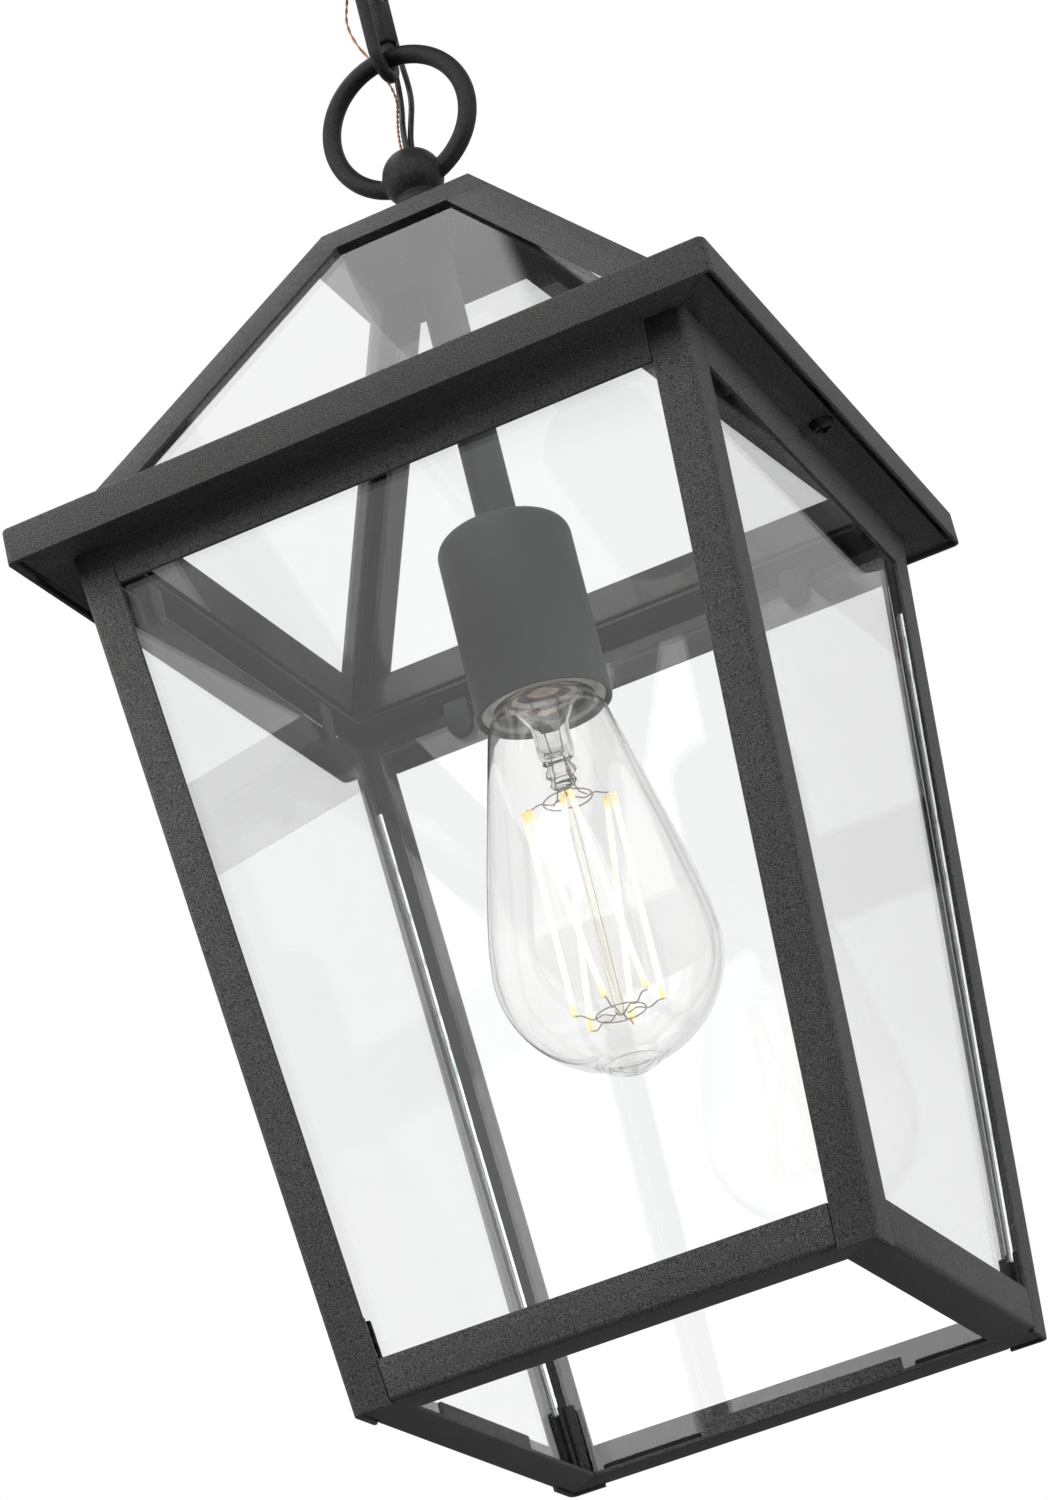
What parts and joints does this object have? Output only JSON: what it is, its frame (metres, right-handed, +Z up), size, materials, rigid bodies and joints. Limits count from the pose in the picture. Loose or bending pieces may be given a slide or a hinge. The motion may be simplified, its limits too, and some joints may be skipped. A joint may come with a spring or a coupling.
{
  "type": "hanging lantern",
  "caption": "Tapered square hanging lantern with glass panes, glazed pyramid roof on a wide eave, ring and quick link to a round ceiling canopy, and a clear filament lamp.",
  "frame": {"origin": "on the ceiling plane, midway between the two ceiling-box screw holes of the crossbar, over the middle of the canopy", "axes": "+Z up; -Y towards the front face; +X to the right seen from the front; the crossbar and the hanging ring lie along X, the quick link along Y"},
  "size_m": [0.2112, 0.2112, 0.5085],
  "materials": {
    "powder_coat": "fine-textured matt charcoal powder coat",
    "zinc_steel": "zinc-plated",
    "clear_glass": "clear, faint green edge",
    "lamp_glass": "clear",
    "black_rubber": "satin",
    "porcelain": "glazed cream porcelain",
    "socket_brass": "satin",
    "cap_metal": "satin copper-toned plating",
    "cap_insulator": "black glass, glossy",
    "support_wire": "nickel wire",
    "filament": "phosphor-coated filament strips, lit",
    "lead_insulation": "black insulation",
    "copper": "bare copper"
  },
  "bodies": {
    "ceiling_mount": {"canopy": "powder_coat", "canopy_loop": "powder_coat", "crossbar": "zinc_steel", "mount_nipple": "zinc_steel", "nipple_locknut": "zinc_steel"},
    "quick_link": {"link_rod": "powder_coat", "lead_a_high": "lead_insulation", "lead_b_high": "lead_insulation", "ground_high": "copper"},
    "link_sleeve": {"link_sleeve": "powder_coat"},
    "lantern": {"lead_a_low": "lead_insulation", "lead_b_low": "lead_insulation", "ground_low": "copper", "hanging_loop": "powder_coat", "roof_cap": "powder_coat", "roof_sills": "powder_coat", "eave": "powder_coat", "stem_tube": "powder_coat", "socket_cup": "powder_coat", "hip_front_left": "powder_coat", "hip_front_right": "powder_coat", "hip_rear_right": "powder_coat", "hip_rear_left": "powder_coat", "post_front_left": "powder_coat", "post_front_right": "powder_coat", "post_rear_right": "powder_coat", "post_rear_left": "powder_coat", "foot_rail_front": "powder_coat", "foot_rail_right": "powder_coat", "foot_rail_rear": "powder_coat", "foot_rail_left": "powder_coat", "top_rail_front": "powder_coat", "top_rail_right": "powder_coat", "top_rail_rear": "powder_coat", "top_rail_left": "powder_coat", "pane_front": "clear_glass", "pane_right": "clear_glass", "pane_rear": "clear_glass", "pane_left": "clear_glass", "roof_pane_front": "clear_glass", "roof_pane_right": "clear_glass", "roof_pane_rear": "clear_glass", "roof_pane_left": "clear_glass", "soffit_screws": "powder_coat", "glass_tongues": "powder_coat", "eave_spacers": "powder_coat", "corner_pads": "black_rubber", "glass_sealant": "black_rubber", "threaded_tube": "zinc_steel", "cup_locknut": "zinc_steel", "socket_porcelain": "porcelain", "socket_shell": "socket_brass", "socket_contact": "socket_brass"},
    "lamp": {"lamp_glass": "lamp_glass", "lamp_stem": "lamp_glass", "lamp_cap": "cap_metal", "lamp_cap_contact": "cap_metal", "lamp_cap_insulator": "cap_insulator", "lamp_supports": "support_wire", "lamp_filaments": "filament"}
  },
  "joints": [
    {"name": "link_swing", "type": "hinge", "parent": "ceiling_mount", "child": "quick_link", "pos_m": [0, 0, -0.05755], "axis": [1, 0, 0], "range_deg": [-30, 30], "deforming": ["lead_a_high", "lead_b_high", "ground_high"]},
    {"name": "lantern_swing", "type": "hinge", "parent": "quick_link", "child": "lantern", "pos_m": [0, 0, -0.09525], "axis": [0, 1, 0], "range_deg": [-30, 30], "deforming": ["lead_a_low", "lead_b_low", "ground_low"]},
    {"name": "sleeve_slide", "type": "slide", "parent": "quick_link", "child": "link_sleeve", "axis": [0, 0, 1], "range_m": [0, 0.0072]},
    {"name": "lamp_slide", "type": "slide", "parent": "lantern", "child": "lamp", "axis": [0, 0, -1], "range_m": [0, 0.23]}
  ]
}
